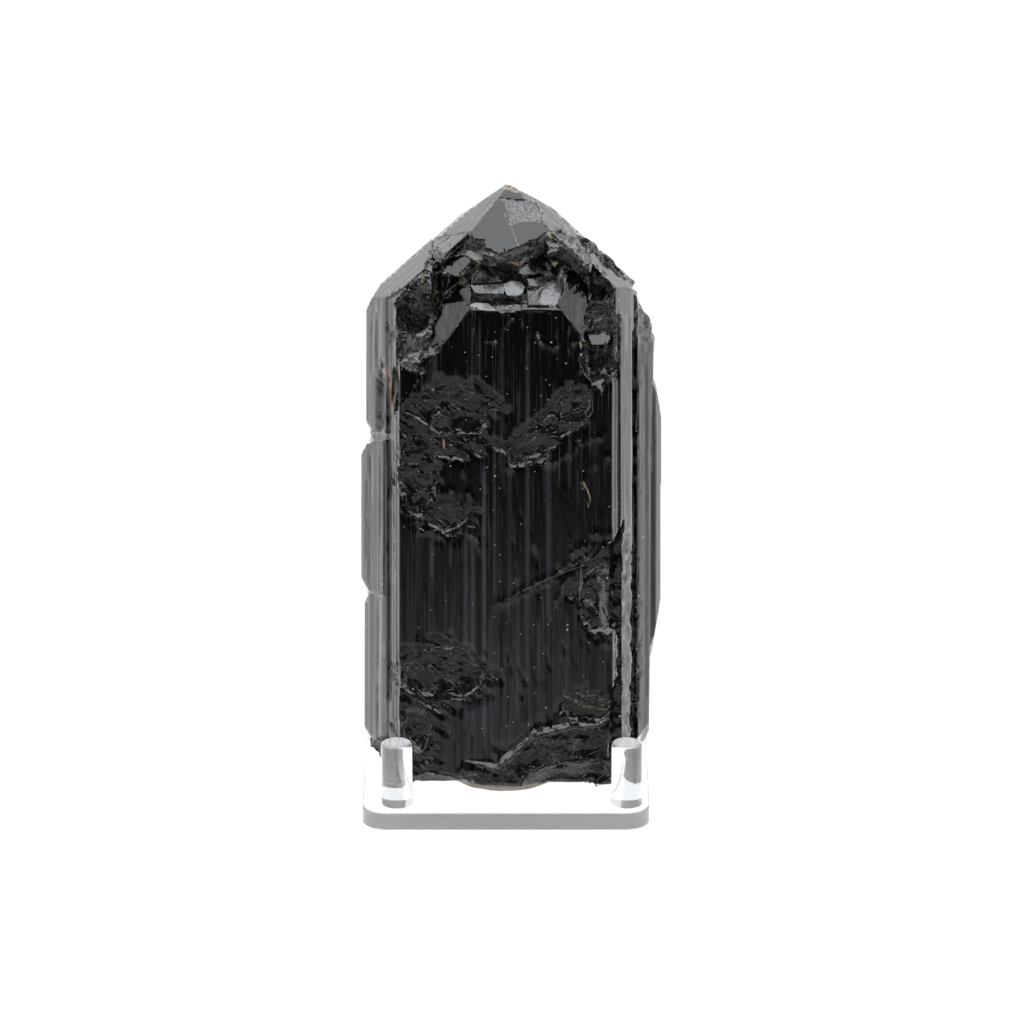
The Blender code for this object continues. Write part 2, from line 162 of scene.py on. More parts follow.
def add_world():
    """Soft studio surround: a light tent with a dark card round the camera."""
    world = bpy.data.worlds.new("light_tent")
    bpy.context.scene.world = world
    world.use_nodes = True
    nodes = Nodes(world.node_tree)
    world.node_tree.nodes.clear()
    heading = nodes.add("ShaderNodeTexCoord").outputs["Generated"]
    height = nodes.split(heading)["Z"]
    low = nodes.between(height, 0.05, 0.45, SKY_LOW, SKY_MIDDLE)
    rise = nodes.between(height, 0.55, 0.85, 0.0, SKY_TOP - SKY_MIDDLE)
    tent = nodes.math("ADD", low, rise)
    facing = nodes.vector("DOT_PRODUCT", heading, tuple(TOWARD_CAMERA))
    wide = nodes.times(nodes.between(facing, *CARD_WIDE), nodes.between(height, *WIDE_TOP))
    card = nodes.math("MAXIMUM", wide, nodes.between(facing, *CARD_NEAR))
    card_light = nodes.between(height, 0.29, 0.37, CARD_FOOT, DARK_CARD)
    seen = nodes.blend(card, tent, card_light)
    path = nodes.add("ShaderNodeLightPath").outputs
    bright = nodes.blend(path["Is Camera Ray"], seen, BACKDROP)
    clear = nodes.blend(path["Is Transmission Ray"], bright, THROUGH_CLEAR)
    surround = nodes.add("ShaderNodeBackground", {"Color": TENT_TINT, "Strength": clear})
    nodes.add("ShaderNodeOutputWorld", {"Surface": surround.outputs[0]})


def add_floor():
    """Lit white table under the stand, shaded ahead of it in reflections."""
    bm = bmesh.new()
    bmesh.ops.create_grid(bm, x_segments=1, y_segments=1, size=6.0)
    bmesh.ops.translate(bm, vec=(0.0, 0.0, -0.0002), verts=bm.verts[:])
    mesh = bpy.data.meshes.new("floor")
    bm.to_mesh(mesh)
    bm.free()
    floor = bpy.data.objects.new("floor", mesh)
    bpy.context.scene.collection.objects.link(floor)
    surface, nodes = new_material("lit_table")
    path = nodes.add("ShaderNodeLightPath").outputs
    place = nodes.add("ShaderNodeTexCoord").outputs["Object"]
    back = nodes.split(place)["Y"]
    mirrored = nodes.between(back, *SHADE_EDGE, FLOOR_AHEAD, FLOOR_LIGHT)
    glow = nodes.blend(path["Is Glossy Ray"], BACKDROP, mirrored)
    mesh.materials.append(finished(surface, nodes, {"Color": (1, 1, 1, 1), "Strength": glow},
                                   "ShaderNodeEmission"))


# --- crystal mesh ----------------------------------------------------------------------

COARSE = (0.6, 0.8, 1.5)     # mesh spacing in x, y and z over the whole crystal
COLUMN_STEP = 0.3            # closer columns on the faces seen from the front
ROUGH_STEP = 0.38            # closer rows, in the losses
CROWN_STEP = 0.15            # closest spacing, in the broken crown
CROWN_LOW, CROWN_HIGH = 69.5, 95.0
CROWN_DEEP = 7.0             # how far back the crown's flat faces reach


def slice_faces(bm, faces, axis, cuts):
    """Cut the faces across an axis at each height, halving the list of cuts each time."""
    if not faces or not cuts:
        return
    half = len(cuts) // 2
    normal = Vector((0.0, 0.0, 0.0))
    normal[axis] = 1.0
    edges = list({edge for face in faces for edge in face.edges})
    verts = list({vert for face in faces for vert in face.verts})
    done = bmesh.ops.bisect_plane(bm, geom=faces + edges + verts, dist=1e-4,
                                  plane_co=normal * cuts[half], plane_no=normal)
    low, high = [], []
    for part in done["geom"]:
        if isinstance(part, bmesh.types.BMFace):
            (low if part.calc_center_median()[axis] < cuts[half] else high).append(part)
    slice_faces(bm, low, axis, cuts[:half])
    slice_faces(bm, high, axis, cuts[half + 1:])


def rows(start, end, step):
    return [start + step * index for index in range(int((end - start) / step) + 1)]


def fine_crystal():
    """The crystal's solid in its own frame, with a grid of small faces over it."""
    bm = bmesh.new()
    bm.from_mesh(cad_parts["crystal"].data)
    bmesh.ops.transform(bm, matrix=CRYSTAL_PLACE.inverted(), verts=bm.verts[:])
    bmesh.ops.remove_doubles(bm, verts=bm.verts[:], dist=2e-3)
    bmesh.ops.dissolve_degenerate(bm, edges=bm.edges[:], dist=2e-3)
    bmesh.ops.dissolve_limit(bm, angle_limit=math.radians(0.3), verts=bm.verts[:], edges=bm.edges[:])
    low = [min(vert.co[axis] for vert in bm.verts) for axis in range(3)]
    high = [max(vert.co[axis] for vert in bm.verts) for axis in range(3)]
    slice_faces(bm, bm.faces[:], 2, rows(low[2] + 0.7, high[2], COARSE[2]))
    slice_faces(bm, bm.faces[:], 0, rows(low[0] + 0.3, high[0], COARSE[0]))
    sideways = [face for face in bm.faces if abs(face.normal.x) > 0.8]
    slice_faces(bm, sideways, 1, rows(low[1] + 0.4, high[1], COARSE[1]))
    for axis, start in ((0, low[0] + 0.3 + COLUMN_STEP), (2, low[2] + 0.7 + COARSE[2] / 2)):
        seen = [face for face in bm.faces if face.normal.y < 0.15]
        slice_faces(bm, seen, axis, rows(start, high[axis], COARSE[axis]))
    bm.faces.ensure_lookup_table()
    centres = np.array([face.calc_center_median() for face in bm.faces])
    backward = np.array([face.normal.y for face in bm.faces])
    torn = (losses(centres) > 0.3) | (ledges(centres)[1] > 0.08) & (centres[:, 1] < 8.0)
    broken = torn & (backward < 0.3)
    rough = [bm.faces[index] for index in np.flatnonzero(broken)]
    slice_faces(bm, rough, 2, rows(low[2] + 0.7 + ROUGH_STEP, high[2], COARSE[2] / 2))
    crown = crown_faces(bm)
    slice_faces(bm, crown, 0, rows(low[0] + 0.3 + CROWN_STEP, high[0], COLUMN_STEP))
    slice_faces(bm, crown_faces(bm), 2, rows(low[2] + 0.7 + CROWN_STEP * 1.25, high[2], ROUGH_STEP))
    return bm


def crown_faces(bm):
    """Faces of the broken crown that look to the front."""
    def held(place):
        return CROWN_LOW < place.z < CROWN_HIGH and abs(place.x) < 17.0 and place.y < CROWN_DEEP

    return [face for face in bm.faces if face.normal.y < -0.1 and abs(face.normal.x) < 0.84
            and held(face.calc_center_median())]


def facing(azimuth, steepness):
    """Outward normal of a face that slopes down towards its azimuth."""
    turn, lean = math.radians(azimuth), math.radians(steepness)
    return np.array([math.sin(turn) * math.sin(lean), -math.cos(turn) * math.sin(lean), math.cos(lean)])


# flat faces in the crown: corners (x, z), then the depth y at the first corner, azimuth,
# steepness, how rough it is and how pale, the paleness partly own colour and partly painted highlight
CLEAVAGES = {
    "gap": ([(-5.2, 78), (0, 77.9), (2.3, 77.6), (2.1, 76.6), (-1.6, 76.5), (-5.2, 76.8)],
            1.8, 5, 88, 0.4, 0),
    "behind_right": ([(-3, 82.6), (0.3, 83), (2.5, 81), (2.3, 80.1), (-0.7, 80)],
                     2.6, 12, 86, 0.25, 0),
    "behind_left": ([(-4, 82.8), (-3, 82.6), (-0.7, 80), (-5.6, 79.7), (-5.6, 81.1)],
                    2.6, -6, 70, 0, 0.05),
    "upper_strip": ([(-4.6, 78), (-5.3, 78.7), (-5.8, 79.5), (-0.3, 79.8), (0, 79.4), (-0.3, 78.1)],
                    0.7, 0, 60, 0, 0.5),
    "white_knob": ([(0, 77.9), (-0.3, 79.8), (1, 80.3), (2.4, 80.1), (3.1, 79.4), (2.7, 78.1),
                    (1.6, 77.6)], 0.6, 6, 62, 0.45, 0.8),
    "lower_strip": ([(-3.7, 75.4), (-6.2, 76.1), (-5, 76.7), (-2.8, 76.5), (-1.9, 75.8), (-1.2, 75.3)],
                    0, 0, 52, 0, 0.7),
    "brown_ledge": ([(-1.1, 75.2), (-2.7, 76.5), (2.3, 76.6), (2.4, 75.5)], 0.1, 5, 58, 0.8, 0.3),
    "left_shoulder": ([(-5.7, 75.75), (-6.2, 76.1), (-5.7, 76.6), (-5.5, 78.1), (-5.9, 79.6), (-8, 78.6),
                       (-10.1, 76.9), (-10.3, 75.2), (-12.1, 71.6), (-12.4, 69.4), (-9.5, 70.7)],
                      0, -30, 70, 0, 0.06),
    "left_hollow": ([(-12.7, 81.9), (-12.1, 83), (-10.9, 83.4), (-10.3, 82.9), (-10.9, 81.6)],
                    4.6, 0, 88, 0.4, 0),
    "under_left": ([(-11.2, 81.5), (-10.5, 81.6), (-10.3, 78.1), (-11, 78.6)], 3, 14, 86, 0, 0),
    "under_middle": ([(-10.5, 81.5), (-8.9, 80.8), (-9.8, 78), (-10.3, 78.1)], 2.4, -26, 83, 0, 0),
    "under_right": ([(-8.9, 80.8), (-7.7, 80.8), (-7.7, 80), (-9.7, 78)], 2.2, 16, 84, 0, 0),
    "dark_face": ([(-7.7, 81), (-10, 81.6), (-10.5, 82.6), (-9.3, 83.9), (-6.6, 84.3), (-5.7, 83.7),
                   (-5.7, 82.7)], 1, -17, 70, 0, 0.03),
    "filling": ([(-5.7, 83.7), (-6.6, 84.3), (-8.2, 84.2), (-6.8, 86.2), (-5.3, 86.9), (-3.4, 86.3),
                 (-3.3, 85.6), (-3.7, 84.8), (-4.1, 82.9)], 1, -6, 66, 0.8, 0.5),
    "grey_face": ([(3.1, 81.1), (1.9, 81.3), (2.3, 82.3), (3.8, 83.6), (6.1, 84.6), (7.1, 83),
                   (8, 81.6)],
                  0.6, 26, 62, 0.05, 0.22),
    "mid_right": ([(5.3, 79.2), (3.7, 79.4), (3.3, 80.6), (8, 80.9), (8.2, 80.3), (6, 79)],
                  1.2, 20, 62, 0.3, 0.4),
    "silver_rough": ([(5.4, 76.3), (5.5, 78.1), (6.1, 79), (8.2, 80.6), (9.2, 79.7), (9, 78.1),
                      (8.1, 76.3)],
                     0, 10, 60, 0.3, 0.6),
    "dull_rough": ([(3.5, 76.3), (3.2, 79.4), (5.3, 79.2), (5.5, 76.3)], 0.2, -10, 62, 0.7, 0.35),
    "right_shoulder": ([(8.1, 76.3), (9.1, 78.1), (9.4, 79.3), (9.7, 82.2), (11.3, 81.6), (12.8, 79.9),
                        (13.4, 78.6), (13.3, 77.1), (12.7, 75), (12.5, 71.4), (12, 71.5), (9.4, 75)],
                       0, 30, 70, 0, 0.08),
    "right_hollow": ([(13.6, 83), (15.7, 80.7), (16.9, 78.3), (14.7, 77.6), (13.6, 77.4)],
                     5, 0, 88, 0.3, 0),
    "right_flake": ([(13.8, 69.9), (13.1, 71.5), (16, 72), (17, 71.2), (16.3, 70)],
                    0.6, 8, 60, 0.1, 0.15),
    "light_patch": ([(-1.3, 93.5), (-0.3, 92.9), (0.2, 91.3), (0.6, 89.2), (1.1, 89), (1.9, 89.5),
                     (5.6, 89.5), (6, 91), (4.8, 92.9), (3.4, 93.4), (1.4, 93.2), (-0.2, 93.6)],
                    3.2, 0, 62, 0.3, 0.45),
}


def inside(points, corners):
    """Which points lie inside a closed line of corners, in x and z."""
    x, z = points[:, 0], points[:, 2]
    within = np.zeros(len(points), bool)
    for (x0, z0), (x1, z1) in zip(corners, corners[1:] + corners[:1]):
        if z0 != z1:
            crossing = (z > min(z0, z1)) & (z <= max(z0, z1)) & (x < x0 + (z - z0) * (x1 - x0) / (z1 - z0))
            within ^= crossing
    return within


def cleave(bm):
    """Cut the crown into its flat faces, and set each to its own plane."""
    shown = BVHTree.FromBMesh(bm)
    for corners, depth, azimuth, steepness, _, _ in CLEAVAGES.values():
        flat = np.array(corners)
        low, high = flat.min(axis=0) - 0.2, flat.max(axis=0) + 0.2
        near = [face for face in bm.faces if face.normal.y < -0.02
                and low[0] < face.calc_center_median().x < high[0]
                and low[1] < face.calc_center_median().z < high[1]]
        for start, end in zip(corners, corners[1:] + corners[:1]):
            run = Vector((end[0] - start[0], 0.0, end[1] - start[1]))
            edges = list({edge for face in near for edge in face.edges})
            verts = list({vert for face in near for vert in face.verts})
            cut = bmesh.ops.bisect_plane(bm, geom=near + edges + verts, dist=1e-3,
                                         plane_co=(start[0], 0.0, start[1]), plane_no=(run.z, 0.0, -run.x))
            near = [part for part in cut["geom"] if isinstance(part, bmesh.types.BMFace)]
        normal = facing(azimuth, steepness)
        grown = flat.mean(axis=0) + (flat - flat.mean(axis=0)) * 1.004
        corners = [tuple(corner) for corner in grown]
        verts = list({vert for face in near for vert in face.verts})
        held = inside(np.array([vert.co for vert in verts]), corners)
        start = np.array([flat[0][0], depth, flat[0][1]])
        for vert in [vert for vert, kept in zip(verts, held) if kept]:
            hit = shown.ray_cast(Vector((vert.co.x, -40.0, vert.co.z)), Vector((0.0, 1.0, 0.0)))[0]
            if hit is None or hit.y > vert.co.y - 0.4:
                away = np.array(vert.co) - start
                vert.co.y = depth - (normal[0] * away[0] + normal[2] * away[2]) / normal[1]


def smooth_step(value, low, high):
    part = np.clip((value - low) / (high - low), 0.0, 1.0)
    return part * part * (3.0 - 2.0 * part)


def window(value, low, high, margin):
    """1 between low and high, fading out over a margin inside each end."""
    return smooth_step(value, low, low + margin) * smooth_step(-value, -high, margin - high)


def grain(points, size, seed):
    """Noise from -1 to 1 at each point; size is its grain in mm, for all axes or for each."""
    shift = Vector((seed * 17.31, seed * 5.17, seed * 11.73))
    return np.array([noise.noise(Vector(point) + shift) for point in points / np.array(size)])


def ahead(points, full, none):
    """1 in front of the depth full, fading to 0 at the depth none."""
    return smooth_step(-points[:, 1], -none, -full)


def drift(points, size, seed):
    """The same noise as a vector at each point."""
    return np.column_stack([grain(points, size, seed + step) for step in range(3)])


def along(points, line, width):
    """How near each point lies, in x and z, to a line of points: 1 on it, 0 a width away."""
    across = points[:, (0, 2)]
    nearest = np.full(len(points), 1e9)
    for start, end in zip(line, line[1:]):
        start, run = np.array(start), np.subtract(end, start)
        part = np.clip((across - start) @ run / (run @ run), 0.0, 1.0)
        nearest = np.minimum(nearest, np.linalg.norm(across - start - part[:, None] * run, axis=1))
    return smooth_step(1.0 - nearest / width, 0.0, 1.0)


# broken places on the front: x, z, half width, half height, turn in degrees
LOSSES = {
    "left_shoulder": (-14.8, 72.4, 3.6, 6.6, 0),
    "right_shoulder": (15.4, 71.6, 3, 8.6, 0),
    "feathered_edge": (-6.8, 61, 6.4, 3, -12),
    "upper_left_scar": (-9.4, 56.4, 8.2, 4.8, -6),
    "left_scar": (-14, 49, 3.4, 7.8, 0),
    "left_ledge": (-8.4, 42, 4.6, 3, -10),
    "centre_scar": (4.6, 54.2, 5.8, 2.6, 38),
    "right_arc": (10.1, 59.6, 3.3, 4, 0),
    "right_hollow": (15.1, 29.8, 4, 6.6, 0),
    "lower_left_scar": (-10.4, 16.8, 7.6, 5.2, -4),
    "lower_right_scar": (13, 12, 4.2, 2.4, 0),
    "left_foot": (-14.4, 6, 4, 6.4, 0),
    "right_foot": (9, 3.6, 12, 5.2, 12),
    "crown": (1, 80.4, 11, 4.2, 0),
    "crown_left": (-9.6, 81.6, 4.6, 3, 40),
    "crown_right": (10.6, 83.6, 5.4, 2.6, -48),
    "right_corner": (19.6, 20, 2, 18, 0),
    "foot": (0, -0.6, 19, 1.8, 0),
}

# broken places on the back: centre x, y, z, half width and half height
BACK_LOSSES = ((-13.4, 26.4, 46, 5, 11), (13.5, 27.6, 24, 5, 7.5),
               (-2, 40.2, 62, 4, 5.5), (6.6, 38, 17.6, 5.4, 5.4))

SWEEP = 0.5                  # how far torn edges drop for each mm away from the middle


def swept(points):
    """The points moved so that a level grain runs down and away from the middle."""
    x, y, z = points.T
    return np.column_stack([x, y, z - SWEEP * np.abs(x)])


def losses(points):
    """How broken the crystal is at each point, from 0 on whole faces to 1 inside a loss."""
    edge = 0.26 * grain(points, 3.0, 1) + 0.22 * grain(points, 1.1, 2)
    edge += 0.42 * grain(swept(points), (4.6, 3.0, 0.9), 8)
    broken = np.zeros(len(points))
    for x, z, half_width, half_height, turn in LOSSES.values():
        turn = math.radians(turn)
        right, up = points[:, 0] - x, points[:, 2] - z
        across = (right * math.cos(turn) + up * math.sin(turn)) / half_width
        rise = (up * math.cos(turn) - right * math.sin(turn)) / half_height
        depth = 1.0 - np.hypot(across, rise)
        broken = np.maximum(broken, smooth_step(depth + edge, -0.05, 0.22))
    broken *= ahead(points, 11.0, 16.0)
    for x, y, z, half_width, half_height in BACK_LOSSES:
        away = np.hypot(np.hypot(points[:, 0] - x, points[:, 1] - y) / half_width,
                        (points[:, 2] - z) / half_height)
        broken = np.maximum(broken, smooth_step(1.0 - away + edge, 0.0, 0.35))
    return broken


def chips(points):
    """Small scattered chips on the front."""
    size = grain(points, (0.5, 0.5, 2.2), 7) + 0.45 * grain(points, (5.0, 5.0, 9.0), 9)
    front = ahead(points, 1.2, 2.0) * smooth_step(-points[:, 2], -75.5, -74.5)
    return 0.35 * smooth_step(size, 0.72, 0.86) * front


def back_lumps(points):
    """Rough lumps behind the upper right of the point."""
    x, y, z = points.T
    behind = smooth_step(y, 6.7, 7.0) * ahead(points, 18.0, 22.0)
    return behind * smooth_step(x, 12.2, 13.4) * smooth_step(z, 69.0, 71.5)


def growth_lines(points):
    """Height of the growth lines, which run up the crystal nearly unchanged."""
    broad = grain(points, (2.4, 2.4, 90.0), 3)
    narrow = grain(points, (0.9, 0.9, 50.0), 4)
    fine = grain(points, (0.42, 0.42, 26.0), 5)
    return 0.10 * np.round(broad * 5.0) / 5.0 + 0.055 * narrow + 0.035 * fine


TERRACE = 0.38               # height of the small steps in a loss


def terraces(points, seed):
    """Torn ground of a loss: low flat steps that wander mostly across the crystal.

    Gives the height, and how near each point is to the edge of a step.
    """
    bent = points + 2.2 * drift(points, 3.4, seed)
    swell = 1.3 * grain(bent, (6.5, 6.5, 2.8), seed + 3) + 0.45 * grain(bent, (2.0, 2.0, 1.1), seed + 4)
    level = swell / TERRACE
    part = level - np.floor(level)
    height = TERRACE * (np.floor(level) + smooth_step(part, 0.62, 1.0))
    edge = smooth_step(part, 0.45, 0.75) * smooth_step(1.0 - part, 0.0, 0.2)
    return height, edge


# thin torn edges on the front: line of points (x, z), half width and rise
LEDGES = {
    "brow_crack": ([(1.9, 74.9), (0.1, 73), (-0.9, 71.6), (-2.3, 70.1), (-3.5, 70.9)], 0.3, 0.12),
    "upper_right_arc": ([(4.5, 72.1), (5.7, 70.6), (7.6, 69.4), (11.2, 70.6)], 0.5, 0.2),
    "upper_right_arc_low": ([(5.2, 71.4), (6.6, 69.6), (8.6, 68.6), (10.8, 69.4)], 0.35, 0.15),
    "loop_top": ([(7.6, 62.4), (8.8, 63.1), (10.2, 62.4), (11.7, 62.6), (13.1, 62.1), (11.9, 59.8)],
                 0.3, 0.2),
    "loop_side": ([(11.4, 61.4), (11.3, 58.1), (9.8, 55.7), (7.9, 55.5)], 0.35, 0.2),
    "centre_sweep": ([(6.7, 58.1), (4.8, 55.7), (3.4, 53.9), (1.5, 52.7), (0.3, 50.6)], 0.6, 0.35),
    "centre_sweep_low": ([(4.4, 51.9), (6.2, 50.4), (8.8, 51.7), (11.2, 52.9)], 0.35, 0.2),
    "centre_sweep_mid": ([(1.4, 52.9), (3, 51.4), (4.4, 51.9), (6.6, 53.2)], 0.4, 0.25),
    "right_cross_line": ([(10.9, 54.8), (13.5, 54.7), (16.1, 55.7)], 0.3, 0.2),
    "right_cross_low": ([(13.6, 50.3), (15.2, 51.6), (16.4, 52)], 0.3, 0.2),
    "feather_1": ([(-12, 63.5), (-8.9, 61.9), (-4.7, 60.2), (-0.9, 59.3)], 0.45, 0.3),
    "feather_2": ([(-14.6, 62.2), (-10.9, 60.8), (-7.2, 59.3), (-3.4, 58.2)], 0.4, 0.28),
    "feather_3": ([(-15.4, 60.6), (-12, 59.3), (-9.3, 58.2), (-6, 57.7), (-3.2, 56.2)], 0.35, 0.25),
    "feather_4": ([(-12, 62.4), (-7.8, 60.9), (-5.6, 60.4), (-2, 60.3)], 0.3, 0.2),
    "feather_5": ([(-15, 58.9), (-12.6, 57.2), (-11.6, 54.8), (-13, 52.8)], 0.35, 0.22),
    "feather_6": ([(-15.9, 58.1), (-14.7, 55.9), (-14.3, 53), (-15.4, 50.2)], 0.3, 0.2),
    "hook": ([(-5.2, 57), (-3.9, 56.4), (-4.2, 54.6), (-5.6, 53.6), (-6.4, 54.4)], 0.3, 0.2),
    "ring": ([(-6, 53.4), (-4.2, 53.4), (-3.4, 54.2)], 0.3, 0.22),
    "white_chip": ([(-13.4, 42.3), (-11.3, 41.5), (-9.6, 42.7)], 0.4, 0.3),
    "ledge_lines_1": ([(-11, 45.3), (-9, 46.2), (-7.4, 46.9), (-6, 45.6)], 0.3, 0.2),
    "ledge_lines_2": ([(-11, 44.2), (-9, 44.6), (-7.2, 44.4)], 0.3, 0.2),
    "ledge_arch": ([(-10.1, 39.2), (-7, 39.9), (-4.9, 38.7), (-4.2, 37.2)], 0.35, 0.28),
    "ledge_side": ([(-5.9, 46.8), (-5, 43.6), (-4.2, 40.6)], 0.35, 0.2),
    "window_side": ([(-7.5, 51), (-6.6, 48.6), (-5.6, 46)], 0.35, 0.18),
    "vein": ([(-1.4, 28.1), (3.4, 30.2), (5.7, 32.1), (8.1, 32.8), (10.5, 34.5), (14, 37.1),
              (17.1, 38.7)], 0.42, 0.1),
    "vein_upper": ([(10.6, 36.6), (12, 36.7), (13.8, 39), (15.6, 39.5), (17.2, 39.4)], 0.6, 0.3),
    "vein_hook": ([(9.9, 38.7), (10.4, 37.3), (11.1, 36.5), (12.2, 36.9)], 0.25, 0.15),
    "vein_branch": ([(9.8, 32.8), (8.8, 30.5), (8.1, 27.4), (6.7, 25)], 0.35, 0.2),
    "beige_arc": ([(12.4, 48.4), (11.9, 47), (13.8, 44.9), (13.1, 43.7)], 0.4, 0.25),
    "hollow_rib": ([(12.6, 30.4), (14.6, 26.6), (16.6, 24.2)], 0.45, 0.3),
    "hollow_rib_low": ([(13, 27.2), (14.4, 23.4), (16, 22)], 0.45, 0.3),
    "hollow_arch": ([(12.4, 33.9), (14.2, 34.6), (16.2, 33.6), (16.6, 30.2)], 0.4, 0.25),
    "foot_wave": ([(-7.1, 1.2), (-3.2, 1.4), (1.5, 2.5), (5.1, 6.4), (7.5, 6.7), (10.5, 5.5), (14, 8.5),
                   (16.1, 9.7)], 0.75, 0.5),
    "foot_wave_top": ([(3.3, 7.3), (5.7, 8.2), (8.7, 8.2), (10.5, 7), (13.2, 9.6)], 0.6, 0.35),
    "foot_wave_low": ([(0.6, 1), (3.6, 3.6), (5.6, 5.6), (8, 4.6), (11, 3.9)], 0.45, 0.35),
    "loss_swirl_1": ([(-15.6, 18.4), (-12.4, 19.6), (-8.2, 19), (-4, 17.6)], 0.45, 0.3),
    "loss_swirl_2": ([(-16.8, 15.6), (-13.2, 14.6), (-9.6, 16.2), (-6.2, 15.2), (-3.4, 15.8)], 0.45, 0.3),
    "loss_swirl_3": ([(-14, 21.8), (-10.8, 21.4), (-7.4, 19.6), (-4.6, 18.6)], 0.35, 0.25),
    "loss_swirl_4": ([(-12.6, 12.6), (-9.8, 11.4), (-7.6, 13.2), (-6.6, 15)], 0.4, 0.25),
    "left_recess_1": ([(-17, 74), (-14.8, 73.4), (-12, 75.4)], 0.5, 1.1),
    "left_recess_2": ([(-15.8, 72), (-14.4, 71.4), (-12.3, 71)], 0.56, 1.3),
    "left_recess_3": ([(-16.4, 69), (-14.2, 69.6), (-12.3, 70)], 0.5, 1.1),
    "left_recess_4": ([(-15.8, 67.2), (-14.4, 67.8), (-12.5, 68.4)], 0.44, 0.96),
    "left_recess_5": ([(-17.2, 76.8), (-15.6, 75.6), (-12.6, 76.8), (-11.2, 78.4)], 0.44, 0.96),
    "right_recess_1": ([(15.2, 77), (15.8, 75.6), (15.9, 74.2)], 0.38, 0.96),
    "right_recess_2": ([(14.2, 77.2), (17, 75.9), (18.7, 74.2)], 0.44, 0.96),
    "right_recess_3": ([(12.3, 68), (13.8, 67.7), (15.8, 68.8), (17.1, 67.9)], 0.44, 1.1),
    "right_recess_4": ([(12.3, 66.2), (14, 65.2), (17.4, 65.4)], 0.56, 1.1),
    "right_recess_5": ([(15.4, 64.3), (16.9, 64.2)], 0.38, 0.8),
    "right_recess_6": ([(13, 72.6), (14.4, 73.2), (16.4, 72.4), (17.4, 71)], 0.44, 0.96),
}


def ledges(points):
    """Height of the torn edges, and how near each point is to one."""
    ragged = 0.4 + 1.1 * np.abs(grain(points, 0.7, 61))
    ragged *= smooth_step(grain(points, 1.9, 62), -0.30, 0.15)
    height, edge = np.zeros(len(points)), np.zeros(len(points))
    wander = 0.8 * drift(points, 2.2, 63) + 0.25 * drift(points, 0.6, 66)
    for line, width, rise in LEDGES.values():
        near = along(points + wander, line, width * 1.2) * ragged
        height = np.maximum(height, 0.4 * rise * near)
        edge = np.maximum(edge, near)
    return height, np.clip(edge, 0.0, 1.0)


# pale growth lines on the front, dust in the striations and painted sheen for the light they reflect: x,
# half width, lower and upper end, strength
STREAKS = (
    (-12.4, 0.3, 61, 67.5, 0.6), (-11.4, 0.45, 63.5, 69.6, 0.9), (-11.9, 0.35, 30, 41, 0.8),
    (-6.4, 0.35, 8, 45, 0.75), (-5.4, 0.25, 58, 75, 0.5), (-5.35, 0.3, 6, 41, 0.8),
    (-4.2, 0.25, 59, 75, 0.55), (-3.45, 0.3, 5, 53, 1), (-1.85, 0.16, 27, 66, 0.8),
    (-0.65, 0.3, 46, 72, 0.55), (-1.1, 0.16, 56, 70, 0.5), (0.6, 0.3, 22, 52, 0.4),
    (3.5, 0.35, 12, 73, 0.65), (1.8, 0.3, 8, 36, 0.5), (6.8, 0.45, 24, 60, 0.55),
    (5.6, 0.2, 52, 66, 0.35), (8, 0.18, 54, 64, 0.4), (10.2, 0.2, 45, 62, 0.6),
    (11.5, 0.16, 36, 54, 0.4), (13.4, 0.2, 50, 61, 0.45), (14.2, 0.16, 42, 58, 0.4),
    (-8.8, 0.3, 6, 26, 0.4), (-2.4, 0.4, 4, 30, 0.35), (-0.2, 0.3, 4, 24, 0.4),
    (5.2, 0.35, 10, 28, 0.4), (9.6, 0.4, 12, 27, 0.35), (11.6, 0.25, 14, 26, 0.3),
)


def streaks(points):
    """How pale the front's growth lines are at each point, as dust and painted sheen."""
    wave = points[:, 0] + 0.05 * grain(points, (1.0, 1.0, 14.0), 71)
    ends = points[:, 2] + 2.5 * grain(points, 0.7, 72)
    pale = np.zeros(len(points))
    for x, width, low, high, strength in STREAKS:
        across = smooth_step(1.25 - np.abs(wave - x) / width, 0.0, 0.8)
        pale = np.maximum(pale, strength * across * window(ends, low, high, 4.0))
    return pale * ahead(points, 1.2, 2.0)


